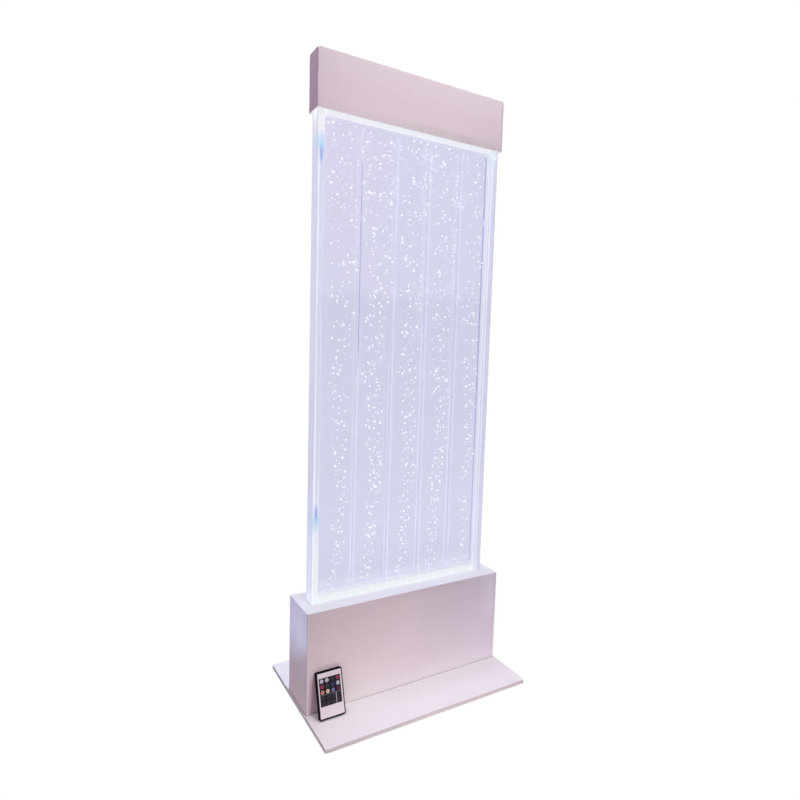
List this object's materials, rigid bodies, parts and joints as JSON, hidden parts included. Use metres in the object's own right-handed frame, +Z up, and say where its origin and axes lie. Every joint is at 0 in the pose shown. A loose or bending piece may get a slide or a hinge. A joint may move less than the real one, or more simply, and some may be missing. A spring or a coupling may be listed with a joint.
{
  "type": "floor-standing bubble wall",
  "caption": "Floor-standing bubble wall: clear lit water panel with air channels in a white plinth on a base plate, with a lift-off cap and a card remote that leans on it.",
  "frame": {"origin": "on the floor, under the middle of the base plate", "axes": "+Z up, +X to the right and -Y towards the viewer who faces the front with the remote"},
  "size_m": [0.45, 0.295, 1.21],
  "materials": {
    "base_paint": "smooth white powder coat with a mauve cast",
    "white_board": "board in satin white paint with a mauve cast",
    "bare_wood": "bare softwood and board",
    "black_rubber": "matt black rubber",
    "screw_steel": "zinc-plated steel",
    "clear_acrylic": "clear polished acrylic",
    "lit_acrylic": "clear acrylic bar that shines with the light in it",
    "channel_aluminium": "natural anodised aluminium",
    "nozzle_plastic": "translucent moulded plastic",
    "hose_silicone": "translucent silicone hose",
    "pump_plastic": "dark grey moulded plastic",
    "led_tape": "white LED tape",
    "milky_diffuser": "milky plastic diffuser",
    "black_plastic": "black moulded plastic",
    "face_plastic": "white face with a black key field",
    "circuit_board": "green circuit board",
    "cell_steel": "nickel-plated steel can",
    "key_white": "white key",
    "key_black": "black key",
    "key_red": "red key",
    "key_green": "green key",
    "key_blue": "blue key",
    "key_orange": "orange key",
    "key_yellow": "yellow key",
    "key_sky": "light blue key"
  },
  "bodies": {
    "stand": {"base_plate": "base_paint", "base_pads": "black_rubber", "base_screws": "screw_steel", "plinth_front": "white_board", "plinth_sides": "white_board", "plinth_deck": "white_board", "rear_panel": "white_board", "rear_screws": "screw_steel", "corner_cleats": "bare_wood", "tank_front_sheet": "clear_acrylic", "tank_back_sheet": "clear_acrylic", "tank_side_bars": "lit_acrylic", "tank_bottom_bar": "lit_acrylic", "channel_dividers": "clear_acrylic", "tank_cradle": "channel_aluminium", "tank_rest_strips": "black_rubber", "cradle_supports": "bare_wood", "air_nozzles": "nozzle_plastic", "nozzle_seals": "black_rubber", "air_manifold": "nozzle_plastic", "air_hoses": "hose_silicone", "air_pump": "pump_plastic", "pump_feet": "black_rubber", "check_valve": "nozzle_plastic", "bottom_led_strip": "led_tape", "led_controller": "pump_plastic", "power_inlet": "black_plastic"},
    "cap": {"cap_ends": "white_board", "cap_faces": "white_board", "cap_top": "white_board", "cap_rests": "bare_wood", "light_bar_channel": "channel_aluminium", "light_bar_diffuser": "milky_diffuser", "top_led_strip": "led_tape"},
    "remote": {"remote_case": "black_plastic", "remote_face": "face_plastic", "remote_board": "circuit_board", "battery_tray": "black_plastic", "coin_cell": "cell_steel"},
    "key_row1_column1": {"key_row1_column1": "key_white"},
    "key_row1_column2": {"key_row1_column2": "key_white"},
    "key_row1_column3": {"key_row1_column3": "key_black"},
    "key_row1_column4": {"key_row1_column4": "key_red"},
    "key_row2_column1": {"key_row2_column1": "key_red"},
    "key_row2_column2": {"key_row2_column2": "key_green"},
    "key_row2_column3": {"key_row2_column3": "key_blue"},
    "key_row2_column4": {"key_row2_column4": "key_white"},
    "key_row3_column1": {"key_row3_column1": "key_orange"},
    "key_row3_column2": {"key_row3_column2": "key_yellow"},
    "key_row3_column3": {"key_row3_column3": "key_sky"},
    "key_row3_column4": {"key_row3_column4": "key_black"},
    "key_row4_column1": {"key_row4_column1": "key_black"},
    "key_row4_column2": {"key_row4_column2": "key_black"},
    "key_row4_column3": {"key_row4_column3": "key_black"},
    "key_row4_column4": {"key_row4_column4": "key_black"},
    "key_row5_column1": {"key_row5_column1": "key_black"},
    "key_row5_column2": {"key_row5_column2": "key_black"},
    "key_row5_column3": {"key_row5_column3": "key_black"},
    "key_row5_column4": {"key_row5_column4": "key_black"}
  },
  "joints": [
    {"name": "cap_lift", "type": "slide", "parent": "stand", "child": "cap", "axis": [0, 0, 1], "range_m": [0, 0.16]},
    {"name": "remote_pick_up", "type": "slide", "parent": "stand", "child": "remote", "axis": [0, -0.9578, 0.2874], "range_m": [0, 0.15]},
    {"name": "key_row1_column1_press", "type": "slide", "parent": "remote", "child": "key_row1_column1", "axis": [0, 0.9578, -0.2874], "range_m": [0, 0.0004], "stiffness_N_per_m": 300},
    {"name": "key_row1_column2_press", "type": "slide", "parent": "remote", "child": "key_row1_column2", "axis": [0, 0.9578, -0.2874], "range_m": [0, 0.0004], "stiffness_N_per_m": 300},
    {"name": "key_row1_column3_press", "type": "slide", "parent": "remote", "child": "key_row1_column3", "axis": [0, 0.9578, -0.2874], "range_m": [0, 0.0004], "stiffness_N_per_m": 300},
    {"name": "key_row1_column4_press", "type": "slide", "parent": "remote", "child": "key_row1_column4", "axis": [0, 0.9578, -0.2874], "range_m": [0, 0.0004], "stiffness_N_per_m": 300},
    {"name": "key_row2_column1_press", "type": "slide", "parent": "remote", "child": "key_row2_column1", "axis": [0, 0.9578, -0.2874], "range_m": [0, 0.0004], "stiffness_N_per_m": 300},
    {"name": "key_row2_column2_press", "type": "slide", "parent": "remote", "child": "key_row2_column2", "axis": [0, 0.9578, -0.2874], "range_m": [0, 0.0004], "stiffness_N_per_m": 300},
    {"name": "key_row2_column3_press", "type": "slide", "parent": "remote", "child": "key_row2_column3", "axis": [0, 0.9578, -0.2874], "range_m": [0, 0.0004], "stiffness_N_per_m": 300},
    {"name": "key_row2_column4_press", "type": "slide", "parent": "remote", "child": "key_row2_column4", "axis": [0, 0.9578, -0.2874], "range_m": [0, 0.0004], "stiffness_N_per_m": 300},
    {"name": "key_row3_column1_press", "type": "slide", "parent": "remote", "child": "key_row3_column1", "axis": [0, 0.9578, -0.2874], "range_m": [0, 0.0004], "stiffness_N_per_m": 300},
    {"name": "key_row3_column2_press", "type": "slide", "parent": "remote", "child": "key_row3_column2", "axis": [0, 0.9578, -0.2874], "range_m": [0, 0.0004], "stiffness_N_per_m": 300},
    {"name": "key_row3_column3_press", "type": "slide", "parent": "remote", "child": "key_row3_column3", "axis": [0, 0.9578, -0.2874], "range_m": [0, 0.0004], "stiffness_N_per_m": 300},
    {"name": "key_row3_column4_press", "type": "slide", "parent": "remote", "child": "key_row3_column4", "axis": [0, 0.9578, -0.2874], "range_m": [0, 0.0004], "stiffness_N_per_m": 300},
    {"name": "key_row4_column1_press", "type": "slide", "parent": "remote", "child": "key_row4_column1", "axis": [0, 0.9578, -0.2874], "range_m": [0, 0.0004], "stiffness_N_per_m": 300},
    {"name": "key_row4_column2_press", "type": "slide", "parent": "remote", "child": "key_row4_column2", "axis": [0, 0.9578, -0.2874], "range_m": [0, 0.0004], "stiffness_N_per_m": 300},
    {"name": "key_row4_column3_press", "type": "slide", "parent": "remote", "child": "key_row4_column3", "axis": [0, 0.9578, -0.2874], "range_m": [0, 0.0004], "stiffness_N_per_m": 300},
    {"name": "key_row4_column4_press", "type": "slide", "parent": "remote", "child": "key_row4_column4", "axis": [0, 0.9578, -0.2874], "range_m": [0, 0.0004], "stiffness_N_per_m": 300},
    {"name": "key_row5_column1_press", "type": "slide", "parent": "remote", "child": "key_row5_column1", "axis": [0, 0.9578, -0.2874], "range_m": [0, 0.0004], "stiffness_N_per_m": 300},
    {"name": "key_row5_column2_press", "type": "slide", "parent": "remote", "child": "key_row5_column2", "axis": [0, 0.9578, -0.2874], "range_m": [0, 0.0004], "stiffness_N_per_m": 300},
    {"name": "key_row5_column3_press", "type": "slide", "parent": "remote", "child": "key_row5_column3", "axis": [0, 0.9578, -0.2874], "range_m": [0, 0.0004], "stiffness_N_per_m": 300},
    {"name": "key_row5_column4_press", "type": "slide", "parent": "remote", "child": "key_row5_column4", "axis": [0, 0.9578, -0.2874], "range_m": [0, 0.0004], "stiffness_N_per_m": 300}
  ]
}
